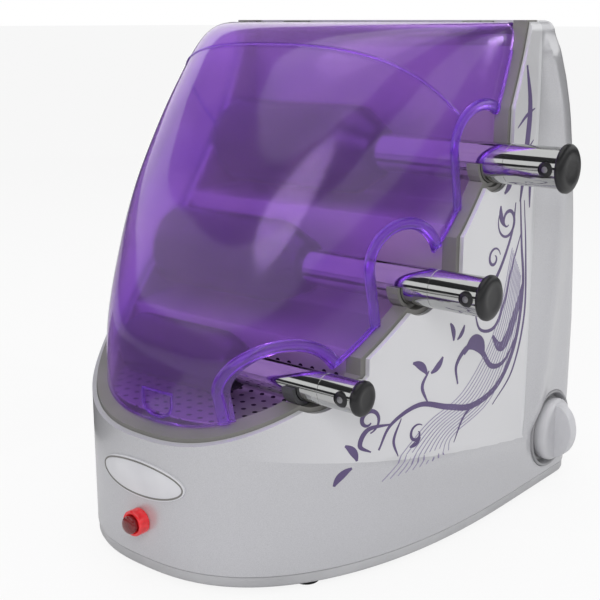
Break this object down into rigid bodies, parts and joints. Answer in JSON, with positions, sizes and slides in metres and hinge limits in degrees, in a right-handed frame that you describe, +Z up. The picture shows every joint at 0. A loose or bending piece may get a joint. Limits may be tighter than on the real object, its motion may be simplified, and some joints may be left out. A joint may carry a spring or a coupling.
{
  "type": "heated roller set",
  "caption": "Free-standing heating station with a tinted hinged lid, holding thermal hair rollers whose chrome handles stick out of the side wall; thermostat knob and lit push button.",
  "frame": {"origin": "centre of the bounding box, at the height of the surface it stands on", "axes": "+Z up; the nose with the push button faces -Y; roller handles and thermostat knob point to +X"},
  "size_m": [0.328, 0.3666, 0.36],
  "materials": {
    "pearl_shell": "pearl silver moulded ABS, satin gloss",
    "grey_liner": "moulded mid grey, satin",
    "dark_plastic": "moulded dark grey",
    "black_plastic": "smooth black",
    "chrome_tube": "polished chrome plate",
    "steel": "plain",
    "plate_metal": "satin sheet, punched",
    "rubber": "matte black",
    "tinted_lid": "clear moulded polycarbonate, violet tint",
    "knob_plastic": "pearl, satin",
    "brass": "plain",
    "ceramic": "unglazed",
    "red_lens": "translucent red",
    "badge": "bare oval plate",
    "lead_sheath": "woven heat-proof sleeve"
  },
  "bodies": {
    "root": {"badge_plate": "badge", "base_tray": "pearl_shell", "button_collar": "red_lens", "chamber_liner": "grey_liner", "foot_front_left": "rubber", "foot_front_right": "rubber", "foot_rear_left": "rubber", "foot_rear_right": "rubber", "foot_screw_front_left": "steel", "foot_screw_front_right": "steel", "foot_screw_rear_left": "steel", "foot_screw_rear_right": "steel", "handle_cradle_bottom": "dark_plastic", "handle_cradle_middle": "dark_plastic", "handle_cradle_top": "dark_plastic", "heat_plate": "plate_metal", "heat_shield": "steel", "heating_element_bottom": "steel", "heating_element_middle": "steel", "heating_element_top": "steel", "hinge_leaf_housing_left": "steel", "hinge_leaf_housing_right": "steel", "hinge_pin_left": "steel", "hinge_pin_right": "steel", "housing_shell": "pearl_shell", "indicator_lamp": "red_lens", "knob_bezel": "dark_plastic", "lead_block_to_switch": "lead_sheath", "lead_block_to_thermostat": "lead_sheath", "lead_inlet_to_block": "lead_sheath", "power_inlet": "black_plastic", "rear_cover": "pearl_shell", "roller_socket_bottom": "dark_plastic", "roller_socket_middle": "dark_plastic", "roller_socket_top": "dark_plastic", "switch_body": "black_plastic", "terminal_block": "ceramic", "thermostat_body": "ceramic"},
    "lid": {"lid": "tinted_lid", "hinge_leaf_lid_left": "steel", "hinge_leaf_lid_right": "steel"},
    "knob": {"knob": "knob_plastic", "knob_spindle": "brass"},
    "power_button": {"power_button": "red_lens"},
    "roller_top": {"roller_barrel_top": "black_plastic", "handle_tube_top": "chrome_tube", "handle_stud_top": "black_plastic", "end_cap_top": "black_plastic", "stub_axle_top": "steel"},
    "roller_middle": {"roller_barrel_middle": "black_plastic", "handle_tube_middle": "chrome_tube", "handle_stud_middle": "black_plastic", "end_cap_middle": "black_plastic", "stub_axle_middle": "steel"},
    "roller_bottom": {"roller_barrel_bottom": "black_plastic", "handle_tube_bottom": "chrome_tube", "handle_stud_bottom": "black_plastic", "end_cap_bottom": "black_plastic", "stub_axle_bottom": "steel"}
  },
  "joints": [
    {"name": "lid_hinge", "type": "hinge", "parent": "root", "child": "lid", "pos_m": [-0.027, 0.0852, 0.3565], "axis": [-1, 0, 0], "range_deg": [0, 105]},
    {"name": "roller_top_spin", "type": "hinge", "parent": "root", "child": "roller_top", "pos_m": [-0.027, 0.0377, 0.2664], "axis": [1, 0, 0], "continuous": true},
    {"name": "roller_middle_spin", "type": "hinge", "parent": "root", "child": "roller_middle", "pos_m": [-0.027, -0.0373, 0.1928], "axis": [1, 0, 0], "continuous": true},
    {"name": "roller_bottom_spin", "type": "hinge", "parent": "root", "child": "roller_bottom", "pos_m": [-0.027, -0.1123, 0.138], "axis": [1, 0, 0], "continuous": true},
    {"name": "knob_turn", "type": "hinge", "parent": "root", "child": "knob", "pos_m": [0.113, 0.1357, 0.048], "axis": [1, 0, 0], "range_deg": [-270, 0]},
    {"name": "button_press", "type": "slide", "parent": "root", "child": "power_button", "axis": [0, 1, 0], "range_m": [0, 0.003], "stiffness_N_per_m": 400}
  ]
}
